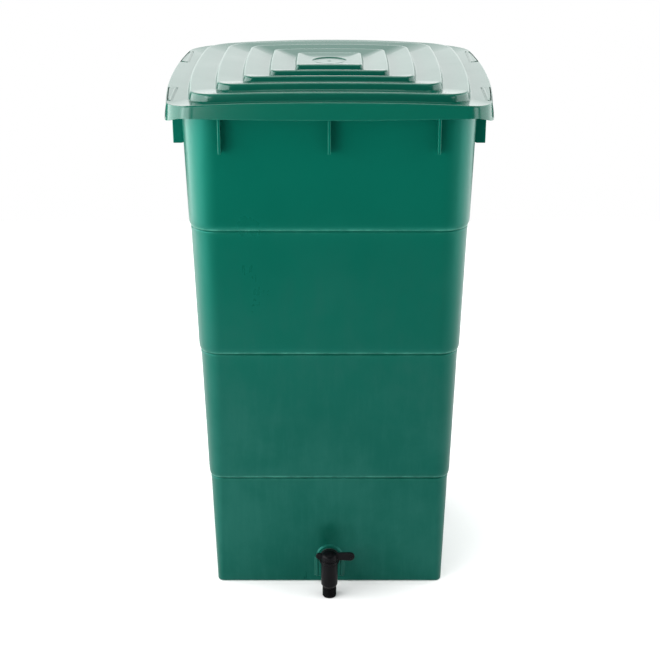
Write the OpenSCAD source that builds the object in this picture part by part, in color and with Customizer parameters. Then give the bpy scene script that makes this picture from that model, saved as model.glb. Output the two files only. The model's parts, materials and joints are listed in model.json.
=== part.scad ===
// Square rainwater butt: a tapered tank with step rings, a stepped lid with four rocking locks, and a tap.
// The origin is on the ground under the middle of the tank, +Z is up and the tap faces -Y.

/* [Tank] */
// Half the tank's width at its base
base_half = 217; // [205:1:230]
// How far each wall leans out for one millimetre of height
wall_draft = 0.035; // [0.025:0.005:0.04]
// How far the wall steps out at each step ring
ring_step = 3; // [1.5:0.5:4]
// Thickness of the tank's walls
tank_wall = 4; // [3:0.5:5]
// Height of the flange that the lid sits on
flange_top = 944; // [944:1:950]

/* [Lid] */
// Half the lid's width at the top of its skirt
lid_half = 282.6; // [281.6:0.5:284.6]
// How far the middle of each side of the lid stands out beyond its ends
lid_bow = 12; // [10:0.5:13]
// How far the lid's arched top drops from its middle to its left and right edges
lid_arch = 9.2; // [8.6:0.2:9.8]
// Thickness of the lid's top and skirt
lid_wall = 2.6; // [2.2:0.2:3]
// Distance between the lid's rings
ring_pitch = 46; // [44:0.5:46.5]

/* [Lid locks] */
// How far the locks rock from released to locked, in degrees
lock_swing = 12; // [10:1:12]
// Diameter of the locks' hinge pins
lock_pin_d = 3; // [2.6:0.2:3.2]

/* [Tap] */
// Height of the tap's inlet stem above the ground
tap_z = 56; // [54:1:60]
// Distance of the tap's upright barrel from the tank's middle
tap_reach = 272; // [268:1:273]
// Length of the lever from the barrel's axis
lever_len = 48; // [40:1:54]

/* [Hidden] */
$fn = 64;
CORNER_STEPS = 7;          // straight edges in each rounded corner of a loop
SIDE_POINTS = 3;           // points between the corners on each side of a lid loop
RUNNING = 0.05;            // radial clearance of a pin that turns

// Tank
RING_Z = [228, 484, 722];  // heights of the step rings
floor_thick = 5;
foot_round = 4;            // rounding under the base
flange_thick = 4;
flange_half = 275;
flange_lip = 3;            // thickness of the flange's turned-down lip
lip_bottom = 929;
gusset_bottom = 867;
gusset_half = 276.4;       // distance of the gussets' outer edges from the middle, below the flange
gusset_thick = 4.8;
gusset_gap = 189;          // distance between neighbouring gussets

// Tap pad on the tank's front
thread_d = 26.4;           // outer diameter of a three-quarter inch pipe thread, drawn plain
pad_half = 22.8;
pad_foot_half = 32;
pad_bottom = 15;
pad_face = 223;            // distance of the pad's upright face from the middle
seat_r = 26;               // flat seat for the washer inside the tank
seat_face = 211.5;
stem_r = thread_d / 2;
stem_bore_r = stem_r + 0.3;

// Lid: ring number k has its riser at k pitches inside the lid's outline
RING_COUNT = 5;
CREST_Z = [961.3, 970.3, 976.7, 978.9, 979.4, 980.4];  // outer edge, then rings 1 to 5
FOOT_Z = [956.3, 964.7, 969.2, 969.4, 971.1];          // foot of each riser, rings 1 to 5
ring_zero = 7.4;           // how far outside the lid's outline the rings are counted from
rim_r = 50;                // corner radius of the lid's outline
skirt_flare = 0.5;         // how far the skirt leans out from top to bottom
lip_flare = 1.6;           // how far its lower lip turns out further on the left and right
skirt_bottom = 930.7;      // lower edge of the skirt at front and rear
side_drop = 9;             // how much lower it is on the left and right
plate_thick = 3;
plateau_r = 31.5;          // round recess in the middle of the lid
plateau_z = 975.6;
seat_rib_half = 266;       // rib under the lid that rests on the flange
seat_gap = 0.3;

// Slots and locks, one near each end of the lid's left and right sides
slot_inner = 271;          // distance of a slot's inner edge from the lid's middle
slot_margin = 3;           // width of the strap between a slot and the lid's outline
tab_gap = 1.5;             // gap between a lock's tab and the slot's outer edge
slot_from = 118;
slot_to = 228;
lock_play = 1.5;           // room between a lock and the ends of its slot
pin_x = 276;
pin_z = 948.2;
boss_len = 8;              // hinge blocks at both ends of a slot
boss_low = 944.8;
boss_high = 950.2;
knuckle_r = 3.1;
hook_from = 128;           // the hook hangs between two gussets
hook_to = 180;
hook_tip = 271.5;
hook_top = 927.5;
hook_bottom = 923.5;
leg_thick = 3;
tab_low = 947.2;
tab_high = 950.5;
NOTCH_AT = 215;            // finger notch in a lock's top

// Tap
washer_t = 2.5;
flange_r = 20;
tap_flange_t = 5;
neck_r = 12;
barrel_r = 15.7;
barrel_top = 77;
barrel_low = 27;
barrel_end = 23.6;
barrel_end_r = 14;
bore_r = 10.5;             // plug chamber
bore_top = 71;
spindle_bore_r = 6;
water_r = 7;
stem_water_r = 9;
stem_end = 194;            // distance of the stem's inner end from the middle
plug_r = bore_r - 0.08;
plug_low = 33;
plug_high = 70.6;
spindle_r = spindle_bore_r - 0.06;
spindle_square = 7.6;
spindle_top = 87;
seal_r = 0.93;             // half the thickness of an O-ring
seal_ring_r = 9.54;
SEAL_Z = [67.5, 37.5];     // upper and lower plug seals
groove_half = 1;
groove_r = 8.6;
hub_r = 15.3;
hub_low = 77.4;
hub_wall_top = 87;
hub_top = 95;
fin_t = 5;
fin_low = 76.4;
fin_high = 93;
stub_len = 25.6;
stub_low = 79;
nozzle_bottom = 1;
nozzle_seal_t = 1.2;
nozzle_r = thread_d / 2;
nozzle_water_r = 7.5;
nozzle_spigot_top = 32.5;
nut_t = 10;
nut_across = 36;

GREEN = "seagreen";
BLACK = [0.07, 0.07, 0.08];

// ---------- shared helpers ----------

// One loop of a rounded square, counter-clockwise, with sides that may bow out
function loop(half, r, bow = 0, side_points = 0) = [
    for (k = [0:3])
        for (p = concat(
            [for (i = [0:CORNER_STEPS])
                let (a = 90 * i / CORNER_STEPS) [half - r + r * cos(a), half - r + r * sin(a)]],
            [for (i = [1:1:side_points])
                let (t = 1 - 2 * i / (side_points + 1)) [(half - r) * t, half + bow * (1 - t * t)]]))
            quarter_turns(p, k)
];

function quarter_turns(p, k) = k == 0 ? p : quarter_turns([-p[1], p[0]], k - 1);

// A closed skin through loops of equal length, with a flat cap on the first and on the last
module loft(loops) {
    n = len(loops[0]);
    last = (len(loops) - 1) * n;
    polyhedron(
        points = [for (l = loops) each l],
        faces = concat(
            [[for (j = [0:n - 1]) j]],
            [for (i = [0:len(loops) - 2]) for (j = [0:n - 1])
                let (a = i * n + j, b = i * n + (j + 1) % n)
                    each [[a, a + n, b + n], [a, b + n, b]]],
            [[for (j = [n - 1:-1:0]) last + j]]));
}

// A cylinder along -Y between two distances in front of the tank's middle
module along_front(from, to, r) {
    translate([0, -from, tap_z])
        rotate([90, 0, 0])
            cylinder(r = r, h = to - from);
}

// ---------- tank ----------

function rings_below(z) = len([for (r = RING_Z) if (r < z) r]);
function wall_half(z) = base_half + wall_draft * z + ring_step * rings_below(z);
function corner_r(z) = 12 + 0.052 * z;

function tank_loop(z, half, r) = [for (p = loop(half, r)) [p[0], p[1], z]];
// A loop that stands a given distance outside the plain wall
function outer_loop(z, out = 0) = tank_loop(z, wall_half(z) + out, corner_r(z) + out);
function flange_loop(z, half) = tank_loop(z, half, corner_r(z) + half - wall_half(z));

module tank_shell() {
    loft(concat(
        [outer_loop(0, -foot_round), outer_loop(2.5, -2), outer_loop(8)],
        // each ring: the lower section ends in a shallow groove under the rounded edge of the upper one
        [for (z = RING_Z) each [
            outer_loop(z - 16), outer_loop(z - 4, 0.5), outer_loop(z - 1.5, -0.8),
            outer_loop(z + 0.5, -2.2), outer_loop(z + 4, -0.8), outer_loop(z + 12)]],
        [outer_loop(flange_top), outer_loop(flange_top, 1 - tank_wall), outer_loop(flange_top - 2, -tank_wall)],
        [for (z = [RING_Z[2], RING_Z[1], RING_Z[0]]) each [
            outer_loop(z + 12, -tank_wall), outer_loop(z - 6, -tank_wall)]],
        [outer_loop(floor_thick + 8, -tank_wall), outer_loop(floor_thick, -tank_wall - 5)]));
}

// The flange round the top of the walls, with its turned-down lip
module tank_rim() {
    under = flange_top - flange_thick;
    inner = flange_half - flange_lip;
    color(GREEN)
        difference() {
            loft([flange_loop(lip_bottom, flange_half), flange_loop(flange_top - 1.5, flange_half),
                flange_loop(flange_top, flange_half - 1.5)]);
            loft([flange_loop(lip_bottom - 1, inner), flange_loop(under, inner)]);
            loft([outer_loop(under - 1), outer_loop(flange_top + 1)]);
        }
}

// Twelve upright ribs between the walls and the lip
module rim_gussets() {
    under = flange_top - flange_thick;
    inner = flange_half - flange_lip;
    color(GREEN)
        for (side = [0:3], i = [-1:1])
            rotate([0, 0, 90 * side])
                translate([i * gusset_gap - gusset_thick / 2, 0, 0])
                    rotate([90, 0, 90])
                        linear_extrude(gusset_thick)
                            polygon([
                                [wall_half(gusset_bottom), gusset_bottom],
                                [gusset_half - 0.6, gusset_bottom],
                                [gusset_half, lip_bottom],
                                [inner, lip_bottom],
                                [inner, under],
                                [wall_half(under), under]]);
}

// Raised pad with an arched top that gives the tap an upright face
module tap_pad() {
    hull() {
        translate([0, -pad_face + 0.01, tap_z])
            rotate([90, 0, 0])
                cylinder(r = pad_half, h = 0.01, $fn = 32);
        translate([-pad_half, -pad_face, pad_bottom])
            cube([2 * pad_half, 0.01, 10]);
        translate([0, -pad_face + 6, tap_z])
            rotate([90, 0, 0])
                cylinder(r = pad_half + 3, h = 0.01, $fn = 32);
        translate([-pad_foot_half, -pad_face + 6, pad_bottom - 2])
            cube([2 * pad_foot_half, 0.01, 10]);
    }
    along_front(seat_face, base_half, seat_r);
}

module tank() {
    color(GREEN)
        difference() {
            union() {
                tank_shell();
                tap_pad();
            }
            along_front(seat_face - 5, pad_face + 5, stem_bore_r);
        }
}

// ---------- lid ----------

function smooth(t) = let (u = min(max(t, 0), 1)) u * u * (3 - 2 * u);
// 0 along the front and rear of the lid, 1 along its left and right, blended round the corners
function sideways(p) = smooth((abs(p[0]) - abs(p[1])) / 60 + 0.5);
// The lid's top is arched from left to right, and dips a little more at its corners
function arch(p) = -lid_arch * pow(p[0] / lid_half, 2) - 3 * pow(p[0] * p[1] / (lid_half * lid_half), 4);
function bow_at(half) = lid_bow * pow(half / lid_half, 2);

function top_loop(half, r, z) = [
    for (p = loop(half, r, bow_at(half), SIDE_POINTS)) [p[0], p[1], z + arch(p)]];
// Loops of the skirt: down is 0 at the lid's edge and 1 at the skirt's lower edge
function skirt_loop(half, down, z_edge, lip = 0) = [
    for (p = loop(half, rim_r, lid_bow, SIDE_POINTS))
        let (grow = 1 + lip * sideways(p) / half,
            low = skirt_bottom - side_drop * sideways(p))
            [p[0] * grow, p[1] * grow, (z_edge + arch(p)) * (1 - down) + low * down]];

function ring_half(k) = lid_half + ring_zero - k * ring_pitch;
function ring_r(half) = 4 + 0.00075 * half * half;

// The top of ring k, from its riser's foot up to its rounded crest
function ring_loops(k, in = 0, low = 0) = let (h = ring_half(k) - in, z = CREST_Z[k] - low) [
    top_loop(h + 2, ring_r(h), FOOT_Z[k - 1] - low),
    top_loop(h, ring_r(h), z - 2.5),
    top_loop(h - 3, ring_r(h), z)];

function reversed(list) = [for (i = [len(list) - 1:-1:0]) list[i]];

// Rib under the lid that rests on the tank's flange
function rib_loops() = let (inner = seat_rib_half - 3, low = flange_top + seat_gap) [
    straight_loop(inner, rim_r - 8, FOOT_Z[0] - 1, 1),
    straight_loop(inner, rim_r - 8, low, 0),
    straight_loop(seat_rib_half, rim_r - 5, low, 0),
    straight_loop(seat_rib_half, rim_r - 5, FOOT_Z[0] - 0.5, 1)];
// A loop with straight sides: level where arched is 0, following the top's arch where it is 1
function straight_loop(half, r, z, arched) = [
    for (p = loop(half, r, 0, SIDE_POINTS)) [p[0], p[1], z + arched * arch(p)]];

module lid_shell() {
    edge = CREST_Z[0];
    loft(concat(
        // underside, from the middle out
        [top_loop(36, 5, plateau_z + 1.4 - plate_thick)],
        [for (k = [RING_COUNT:-1:1]) each reversed(ring_loops(k, lid_wall, plate_thick))],
        rib_loops(),
        // inside of the skirt, its lower edge, and its outside
        [skirt_loop(lid_half - lid_wall, 0.1, edge - plate_thick),
            skirt_loop(lid_half + skirt_flare - lid_wall, 0.7, edge),
            skirt_loop(lid_half + skirt_flare - lid_wall, 1, edge, lip_flare),
            skirt_loop(lid_half + skirt_flare, 1, edge, lip_flare),
            skirt_loop(lid_half + skirt_flare, 0.7, edge),
            skirt_loop(lid_half, 0.08, edge),
            top_loop(lid_half - 2, rim_r - 2, edge)],
        // top, from the edge in
        [for (k = [1:RING_COUNT]) each ring_loops(k)],
        [top_loop(36, 5, plateau_z + 1.4)]));
}

module at_each_lock() {
    for (x = [-1, 1], y = [-1, 1])
        to_corner(x, y)
            children();
}

// Mirrors what is drawn for the rear right corner to the corner with the given signs of X and Y
module to_corner(x, y) {
    mirror([x < 0 ? 1 : 0, 0, 0])
        mirror([0, y < 0 ? 1 : 0, 0])
            children();
}

// Points along the lid's right side, a given distance inside its outline
function side_line(from, to, in) = [
    for (i = [0:8])
        let (y = from + (to - from) * i / 8, t = y / (lid_half - rim_r))
            [lid_half + lid_bow * (1 - t * t) - in, y]];

module lid() {
    color(GREEN)
        difference() {
            union() {
                lid_shell();
                at_each_lock()
                    for (y = [slot_from - boss_len, slot_to])
                        translate([pin_x - 4, y, boss_low])
                            cube([8, boss_len, boss_high - boss_low]);
            }
            translate([0, 0, plateau_z])
                cylinder(r = plateau_r, h = 10);
            at_each_lock() {
                translate([0, 0, boss_low - 1])
                    linear_extrude(20)
                        polygon(concat([[slot_inner, slot_to], [slot_inner, slot_from]],
                            side_line(slot_from, slot_to, slot_margin)));
                pin_along_y(lock_pin_d / 2);
            }
        }
}

// ---------- lid locks ----------

module pin_along_y(r, short = 0) {
    translate([pin_x, slot_to + boss_len - 2 - short, pin_z])
        rotate([90, 0, 0])
            cylinder(r = r, h = slot_to - slot_from + 2 * boss_len - 4 - 2 * short);
}

module lock_profile() {
    outer = pin_x + leg_thick;
    polygon([
        [hook_tip, hook_top], [hook_tip + 1, hook_bottom], [outer - 1, hook_bottom],
        [outer, hook_bottom + 1], [outer, tab_low], [pin_x, tab_low], [pin_x, hook_top]]);
}

// The top of a lock, which follows the lid's outline and has one rounded corner
module lock_tab() {
    from = slot_from + lock_play;
    to = slot_to - lock_play;
    corner = 5;
    in = slot_margin + tab_gap;
    edge = side_line(from + corner, to, in);
    translate([0, 0, tab_low])
        linear_extrude(tab_high - tab_low)
            polygon(concat(
                [[slot_inner + 0.7, to], [slot_inner + 0.7, from], [edge[0][0] - corner, from],
                    [edge[0][0] - 0.3 * corner, from + 0.3 * corner]],
                edge));
}

// Drawn locked, for the rear right corner, then rocked to its released position
module lock(x, y) {
    from = slot_from + lock_play;
    to = slot_to - lock_play;
    color(GREEN)
        to_corner(x, y)
            translate([pin_x, 0, pin_z])
                rotate([0, -lock_swing, 0])
                    translate([-pin_x, 0, -pin_z])
                        difference() {
                            union() {
                                lock_tab();
                                translate([pin_x, to, pin_z])
                                    rotate([90, 0, 0])
                                        cylinder(r = knuckle_r, h = to - from);
                                translate([0, hook_to, 0])
                                    rotate([90, 0, 0])
                                        linear_extrude(hook_to - hook_from)
                                            lock_profile();
                            }
                            pin_along_y(lock_pin_d / 2 + RUNNING);
                            translate([slot_inner + 3, NOTCH_AT, tab_high - 1.2])
                                cube([6, 3, 3]);
                        }
}

module lock_pin(x, y) {
    color("silver")
        to_corner(x, y)
            pin_along_y(lock_pin_d / 2, 0.2);
}

// ---------- tap ----------

module tap_body() {
    flange_from = pad_face + washer_t;
    color(BLACK)
        difference() {
            union() {
                along_front(stem_end, flange_from + 1, stem_r);
                along_front(flange_from, flange_from + tap_flange_t, flange_r);
                along_front(flange_from, tap_reach, neck_r);
                translate([0, -tap_reach, barrel_low])
                    cylinder(r = barrel_r, h = barrel_top - barrel_low);
                translate([0, -tap_reach, barrel_end])
                    cylinder(r1 = barrel_end_r, r2 = barrel_r, h = barrel_low - barrel_end);
            }
            along_front(stem_end - 1, tap_reach, stem_water_r);
            translate([0, -tap_reach, barrel_end - 1])
                cylinder(r = bore_r, h = bore_top - barrel_end + 1);
            translate([0, -tap_reach, bore_top - 1])
                cylinder(r = spindle_bore_r, h = barrel_top - bore_top + 2);
        }
}

// Hollow plug: closed at rest, with its port turned away from the stem
module tap_plug() {
    color(BLACK)
        translate([0, -tap_reach, 0])
            difference() {
                union() {
                    translate([0, 0, plug_low])
                        cylinder(r = plug_r, h = plug_high - plug_low);
                    translate([0, 0, plug_high])
                        cylinder(r = spindle_r, h = hub_low - plug_high);
                    translate([-spindle_square / 2, -spindle_square / 2, hub_low])
                        cube([spindle_square, spindle_square, spindle_top - hub_low]);
                }
                translate([0, 0, plug_low - 1])
                    cylinder(r = water_r, h = tap_z + water_r - plug_low + 2);
                translate([0, 0, tap_z])
                    rotate([0, -90, 0])
                        cylinder(r = water_r, h = bore_r + 1);
                for (z = SEAL_Z)
                    translate([0, 0, z - groove_half])
                        difference() {
                            cylinder(r = bore_r + 1, h = 2 * groove_half);
                            cylinder(r = groove_r, h = 2 * groove_half);
                        }
            }
}

module plug_seal(z) {
    color(BLACK)
        translate([0, -tap_reach, z])
            rotate_extrude()
                translate([seal_ring_r, 0])
                    circle(r = seal_r, $fn = 24);
}

// Domed hub with a fin lever to the right and a short stub to the left
module tap_lever() {
    dome_h = hub_top - hub_wall_top;
    dome_r = (hub_r * hub_r + dome_h * dome_h) / (2 * dome_h);
    color(BLACK)
        translate([0, -tap_reach, 0])
            difference() {
                union() {
                    translate([0, 0, hub_low])
                        cylinder(r = hub_r, h = hub_wall_top - hub_low);
                    intersection() {
                        translate([0, 0, hub_top - dome_r])
                            sphere(r = dome_r);
                        translate([0, 0, hub_wall_top - 1])
                            cylinder(r = hub_r, h = dome_h + 1);
                    }
                    lever_fin(lever_len, fin_high, fin_low);
                    mirror([1, 0, 0])
                        lever_fin(stub_len, fin_high - 1, stub_low);
                }
                translate([-spindle_square / 2, -spindle_square / 2, hub_low - 1])
                    cube([spindle_square, spindle_square, spindle_top - hub_low + 1]);
            }
}

// An upright fin with a rounded end, clear of the barrel below it
module lever_fin(length, high, low) {
    end_r = 6;
    translate([0, fin_t / 2, 0])
        rotate([90, 0, 0])
            linear_extrude(fin_t)
                union() {
                    polygon([
                        [hub_r - 3, high - 3], [length - end_r, high], [length, high - end_r],
                        [length, low + 4], [length - 4, low], [barrel_r + 1, low],
                        [barrel_r + 1, hub_low + 0.5], [hub_r - 3, hub_low + 0.5]]);
                    translate([length - end_r, high - end_r])
                        circle(r = end_r);
                }
}

module outlet_nozzle() {
    color(BLACK)
        translate([0, -tap_reach, 0])
            difference() {
                union() {
                    translate([0, 0, nozzle_bottom])
                        cylinder(r = nozzle_r, h = barrel_end - nozzle_seal_t - nozzle_bottom);
                    translate([0, 0, nozzle_bottom + 1])
                        cylinder(r = bore_r, h = nozzle_spigot_top - nozzle_bottom - 1);
                }
                translate([0, 0, nozzle_bottom - 1])
                    cylinder(r = nozzle_water_r, h = nozzle_spigot_top - nozzle_bottom + 2);
            }
}

module flat_ring(z, r_out, r_in, h) {
    translate([0, -tap_reach, z])
        difference() {
            cylinder(r = r_out, h = h);
            translate([0, 0, -1])
                cylinder(r = r_in, h = h + 2);
        }
}

module nozzle_seal() {
    color(BLACK)
        flat_ring(barrel_end - nozzle_seal_t, nozzle_r - 0.8, bore_r, nozzle_seal_t);
}

// A washer on the stem between two distances from the tank's middle
module stem_washer(from, to, r) {
    color(BLACK)
        difference() {
            along_front(from, to, r);
            along_front(from - 1, to + 1, stem_r);
        }
}

module outer_washer() {
    stem_washer(pad_face, pad_face + washer_t, flange_r - 1);
}

module inner_washer() {
    stem_washer(seat_face - washer_t, seat_face, seat_r - 4);
}

module lock_nut() {
    face = seat_face - washer_t;
    color(BLACK)
        difference() {
            translate([0, -face + nut_t, tap_z])
                rotate([90, 0, 0])
                    cylinder(r = nut_across / sqrt(3), h = nut_t, $fn = 6);
            along_front(face - nut_t - 1, face + 1, stem_r);
        }
}

tank();
tank_rim();
rim_gussets();
lid();
lock(-1, -1);  // lid_lock_front_left
lock(1, -1);  // lid_lock_front_right
lock(-1, 1);  // lid_lock_rear_left
lock(1, 1);  // lid_lock_rear_right
lock_pin(-1, -1);  // lock_pin_front_left
lock_pin(1, -1);  // lock_pin_front_right
lock_pin(-1, 1);  // lock_pin_rear_left
lock_pin(1, 1);  // lock_pin_rear_right
tap_body();
tap_plug();
tap_lever();
plug_seal(SEAL_Z[0]);  // plug_seal_upper
plug_seal(SEAL_Z[1]);  // plug_seal_lower
outlet_nozzle();
nozzle_seal();
outer_washer();
inner_washer();
lock_nut();
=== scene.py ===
"""Detailed visual model of the square rainwater butt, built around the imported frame.

Lengths in the shape code are millimetres; meshes are scaled to metres when they are made.
+Z is up, the tap faces -Y, and the origin is on the ground under the middle of the tank.
"""
import json
import math

import bmesh
import bpy
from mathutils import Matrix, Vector


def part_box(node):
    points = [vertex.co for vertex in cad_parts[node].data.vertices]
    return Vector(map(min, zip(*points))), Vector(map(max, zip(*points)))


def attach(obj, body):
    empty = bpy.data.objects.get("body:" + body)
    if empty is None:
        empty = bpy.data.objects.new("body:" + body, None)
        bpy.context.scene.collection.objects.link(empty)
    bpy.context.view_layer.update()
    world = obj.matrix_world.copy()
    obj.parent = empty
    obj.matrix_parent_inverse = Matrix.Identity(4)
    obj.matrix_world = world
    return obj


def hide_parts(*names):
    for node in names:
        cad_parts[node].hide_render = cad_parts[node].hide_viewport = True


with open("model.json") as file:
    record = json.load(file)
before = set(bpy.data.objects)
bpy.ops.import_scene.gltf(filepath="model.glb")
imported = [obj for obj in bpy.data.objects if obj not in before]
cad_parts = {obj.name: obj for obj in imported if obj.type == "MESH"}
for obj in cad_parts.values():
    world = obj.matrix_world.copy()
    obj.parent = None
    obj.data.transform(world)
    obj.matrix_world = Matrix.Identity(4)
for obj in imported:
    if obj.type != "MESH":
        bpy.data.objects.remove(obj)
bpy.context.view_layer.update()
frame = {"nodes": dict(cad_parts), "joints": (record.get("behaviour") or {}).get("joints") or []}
MM = 0.001


def box_mm(node):
    """Lowest and highest corner of a CAD node, in millimetres."""
    low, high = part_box(node)
    return [v / MM for v in low], [v / MM for v in high]


def joint_named(name):
    return next(j for j in frame["joints"] if j["name"] == name)


# ---------- driving dimensions ----------

TANK_HIGH = box_mm("tank")[1]
GUSSET_HIGH = box_mm("rim_gussets")[1]
LID_LOW = box_mm("lid")[0]
LOCK_JOINT = joint_named("lock_rear_right_rock")
TAP_JOINT = joint_named("tap_turn")

# Tank
BASE_HALF = 217.0
WALL_DRAFT = 0.035
RING_STEP = 3.0
TANK_WALL = 4.0
FOOT_CORNER_R = 12
CORNER_GROWTH = 0.052
RING_Z = (228.0, 484.0, 722.0)
FOOT_ROUND = 4.0
FLOOR_THICK = 5.0
FLOOR_ROUND = 8.0  # radius between the inside of the wall and the floor
FLANGE_TOP = TANK_HIGH[2]
FLANGE_HALF = 275.0
FLANGE_THICK = 4.0
FLANGE_LIP = 3.0
LIP_BOTTOM = FLANGE_TOP - 15.0
GUSSET_BOTTOM = 867.0
GUSSET_OUT = GUSSET_HIGH[0]
GUSSET_THICK = 4.8
GUSSET_GAP = 189.0
GUSSET_ROUND = 0.9
TANK_CORNER_STEPS = 14
TANK_SIDE_T = (0.98, 0.9, 0.55, 0.0, -0.55, -0.9, -0.98)

# Lid
LID_WALL = 2.6
PLATE = 3.0
LID_HALF = 282.6
LID_BOW = 12.0
LID_ARCH = 9.2
RIM_R = 50.0
FLARE = 0.5
LIP_FLARE = 1.6
RING_PITCH = 46.0
RING_ZERO = 7.4  # how far outside the lid's outline the rings are counted from
RING_COUNT = 5
CREST_Z = (961.3, 970.3, 976.7, 978.9, 979.4, 980.4)
FOOT_Z = (956.3, 964.7, 969.2, 969.4, 971.1)
SIDE_DROP = 9.0
SIDE_BLEND = 60
CORNER_FALL = 3
SKIRT_BOTTOM = LID_LOW[2] + SIDE_DROP
SEAT_RIB = 266.0
SEAT_GAP = 0.3
RECESS_R = 31.5
RECESS_Z = 975.6
RECESS_DEPTH = 1.4
LID_CORNER_STEPS = 14

# Slots and locks, drawn for the rear right corner and mirrored to the others
SLOT_IN = 271.0
SLOT_MARGIN = 3.0  # width of the strap between a slot and the lid's outline
TAB_GAP = 1.5
SLOT_FROM = 118.0
SLOT_TO = 228.0
SLOT_SPAN = LID_HALF - RIM_R
BOSS_LOW = 944.8
BOSS_HIGH = 950.2
BOSS_HALF = 4.0
BOSS_LONG = 8.0
TAB_LOW = 947.2
TAB_HIGH = 950.5
TAB_END_GAP = 1.5
TAB_CORNER = 5.0
KNUCKLE_R = 3.1
PIN_BORE_R = 1.6
HOOK_FROM = 128
HOOK_TO = 180
HOOK_OUT = 3  # how far the hook's outer face is from the pin
HOOK_TIP = 271.5
HOOK_LOW = 923.5
HOOK_HIGH = 927.5
GRIP_FROM = 213.6
GRIP_TO = 215.4
PIN_X = LOCK_JOINT["pos_m"][0] / MM
PIN_Z = LOCK_JOINT["pos_m"][2] / MM
SWING = math.radians(max(abs(v) for v in LOCK_JOINT["range_deg"]))
CORNERS = {"front_left": (-1, -1), "front_right": (1, -1), "rear_left": (-1, 1), "rear_right": (1, 1)}

# Tap
TAP_Y = -TAP_JOINT["pos_m"][1] / MM
TAP_Z = 56.0
THREAD_R = 13.2
THREAD_PITCH = 1.814
THREAD_DEPTH = 1.16
THREAD_FADE = 1.2
ROWS_PER_TURN = 8
PAD_FACE = 223.0
SEAT_FACE = 211.5
WASHER_THICK = 2.5
STEM_END = 194.0
STEM_HOLE_R = THREAD_R + 0.3
WATER_R = 9.0
BARREL_R = 15.7
BARREL_TOP = 77.0
BARREL_LOW = 23.6
BORE_R = 10.5
BORE_TOP = 71.0
SPINDLE_BORE_R = 6.0
FLANGE_R = 20.0
NECK_R = 12.0
HUB_R = 15.3
HUB_LOW = 77.4
HUB_BORE_R = 3.9
DOME_LOW = 87.0
DOME_RISE = 8.0
DIMPLE_R = 0.8
FIN_HALF_THICK = 2.5
LEVER_BOSS_X = 41.0
LEVER_BOSS_Z = 84.7
OUTLET_R = 7.5
OUTLET_LOW = 1.0
OUTLET_COLLAR = 20.4
SPIGOT_LOW = 22.4
SPIGOT_TOP = 32.5
NUT_HALF = 18.0  # from the nut's middle to a flat
NUT_THICK = 10.0
ROUND_STEPS = 64


# ---------- shape helpers ----------

def smooth(t):
    t = min(max(t, 0.0), 1.0)
    return t * t * (3 - 2 * t)


def quarter_turns(p, k):
    for _ in range(k):
        p = (-p[1], p[0])
    return p


def rounded_loop(half, radius, bow, corner_steps, side_t):
    """Points (x, y, t) of a rounded square, anticlockwise. t runs 1 to -1 along a side, None in a corner."""
    points = []
    for k in range(4):
        for i in range(corner_steps + 1):
            a = math.radians(90 * i / corner_steps)
            x = half - radius + radius * math.cos(a)
            y = half - radius + radius * math.sin(a)
            points.append((*quarter_turns((x, y), k), None))
        for t in side_t:
            p = ((half - radius) * t, half + bow * (1 - t * t))
            points.append((*quarter_turns(p, k), t))
    return points


class Shape:
    """Vertices in millimetres, faces, and how worn each vertex is."""

    def __init__(self):
        self.points = []
        self.faces = []
        self.wear = []

    def add(self, points, wear=0.0):
        first = len(self.points)
        self.points += points
        self.wear += [wear] * len(points)
        return first

    def skin(self, rows, wear=None, closed=False, skip=None):
        """Quads between neighbouring rows of equal length, capped at both ends or closed into a ring.

        skip(row, column) leaves a cell open.
        """
        n = len(rows[0])
        starts = [self.add(row, wear[i] if wear else 0.0) for i, row in enumerate(rows)]
        pairs = list(zip(starts, starts[1:]))
        if closed:
            pairs.append((starts[-1], starts[0]))
        for i, (a, b) in enumerate(pairs):
            for j in range(n):
                if skip and skip(i, j):
                    continue
                k = (j + 1) % n
                self.faces.append((a + j, a + k, b + k, b + j))
        if not closed:
            for start in (starts[0], starts[-1]):
                self.faces.append(tuple(range(start, start + n)))
        return starts

    def slab(self, outline, low, high, edge, place, worn):
        """A plate with rounded edges: outline is (u, v) points, place turns (u, v, h) into a point."""
        rows = []
        wear = []
        turns = [math.radians(a) for a in (0, 30, 60, 90)]
        for base, sign, angles in ((low, 1, turns), (high, -1, turns[::-1])):
            for a in angles:
                level = base + sign * edge * (1 - math.cos(a))
                ring = inset(outline, edge * (1 - math.sin(a)))
                rows.append([place(u, v, level) for u, v in ring])
                wear.append(worn if 0 < math.degrees(a) < 90 else 0.0)
        self.skin(rows, wear)

    def lathe(self, profile, place, steps=ROUND_STEPS, closed=False, radius_at=None):
        """Turns (radius, height) points round an axis; radius_at(radius, height, angle) may vary it."""
        rows = []
        for r, h in profile:
            row = []
            for i in range(steps):
                a = 2 * math.pi * i / steps
                rr = radius_at(r, h, a) if radius_at else r
                row.append(place(rr * math.cos(a), rr * math.sin(a), h))
            rows.append(row)
        self.skin(rows, closed=closed)


SHARPEST_CORNER = 0.3  # keeps the points of very sharp corners from running away


def inset(outline, d):
    """The outline moved inwards by d at every side. The outline runs anticlockwise."""
    if d == 0:
        return list(outline)
    n = len(outline)
    moved = []
    for i in range(n):
        (x0, y0), (x1, y1), (x2, y2) = outline[i - 1], outline[i], outline[(i + 1) % n]
        a = math.atan2(y1 - y0, x1 - x0)
        b = math.atan2(y2 - y1, x2 - x1)
        half = (b - a + math.pi) % (2 * math.pi) - math.pi
        mid = a + half / 2 + math.pi / 2
        reach = d / max(math.cos(half / 2), SHARPEST_CORNER)
        moved.append((x1 + reach * math.cos(mid), y1 + reach * math.sin(mid)))
    return moved


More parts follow.
